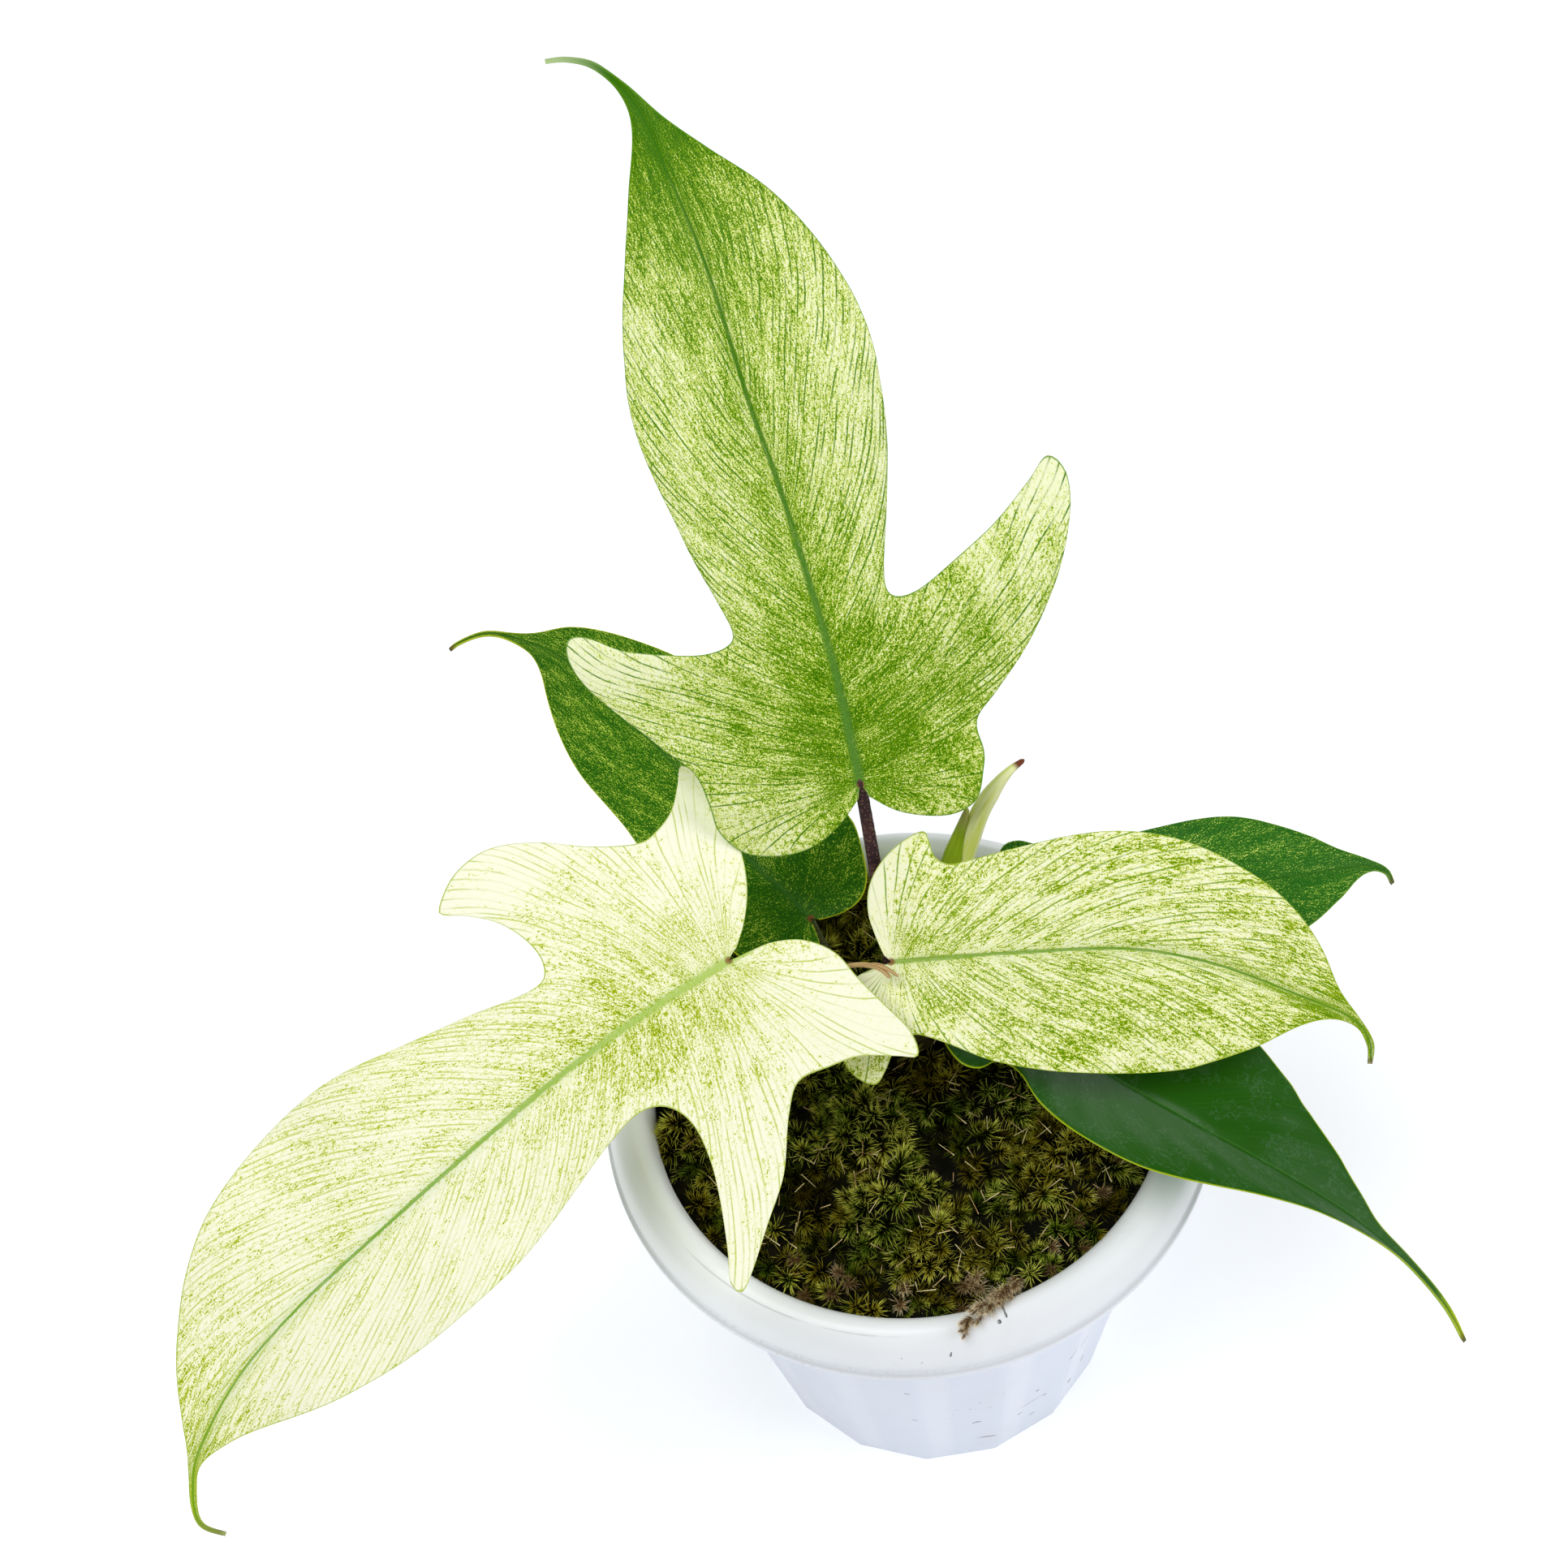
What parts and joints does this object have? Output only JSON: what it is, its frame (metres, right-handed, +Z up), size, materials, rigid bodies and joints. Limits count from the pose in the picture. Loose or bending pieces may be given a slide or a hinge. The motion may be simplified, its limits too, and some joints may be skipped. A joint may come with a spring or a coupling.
{
  "type": "potted house plant",
  "caption": "Aroid house plant with lobed, long-tipped leaves in cream, yellow-green and dark green, growing from moss in a white rolled-rim plastic pot.",
  "frame": {"origin": "centre of the pot's flat underside", "axes": "+Z up along the pot's axis; -Y towards the viewer of the picture, +X to the viewer's right"},
  "size_m": [0.2705, 0.2321, 0.2827],
  "materials": {
    "pot_plastic": "white moulded plastic with a soft sheen, a little dusty",
    "potting_mix": "dark damp bark and peat mix",
    "moss": "living star-shaped moss tufts, olive with dark gaps",
    "crown_stem": "green-brown fibrous stem",
    "dark_petiole": "dark purple-brown, rough and scurfy",
    "brown_petiole": "brown-green, scurfy",
    "green_petiole": "dull green, scurfy",
    "tall_leaf": "yellow-green mottled over cream, satin",
    "front_leaf": "cream with fine green dashes along the veins, satin",
    "right_leaf": "pale yellow-cream with green streaks, satin",
    "green_leaf": "dark green with fine paler flecks, satin",
    "low_leaf": "dark green, glossy, with a thin yellow-green edge",
    "new_leaf": "pale cream-green, smooth, brown at the tip",
    "cataphyll": "olive green, smooth",
    "dried_sheath": "dry tan, papery"
  },
  "bodies": {
    "root": {"pot": "pot_plastic", "soil": "potting_mix", "moss": "moss", "crown": "crown_stem", "leaf_tall_petiole": "dark_petiole", "leaf_tall_blade": "tall_leaf", "leaf_front_petiole": "brown_petiole", "leaf_front_blade": "front_leaf", "leaf_right_petiole": "brown_petiole", "leaf_right_blade": "right_leaf", "leaf_back_petiole": "green_petiole", "leaf_back_blade": "green_leaf", "leaf_far_petiole": "green_petiole", "leaf_far_blade": "green_leaf", "leaf_low_petiole": "green_petiole", "leaf_low_blade": "low_leaf", "new_leaf": "new_leaf", "cataphyll": "cataphyll", "dried_sheath": "dried_sheath"}
  },
  "joints": []
}
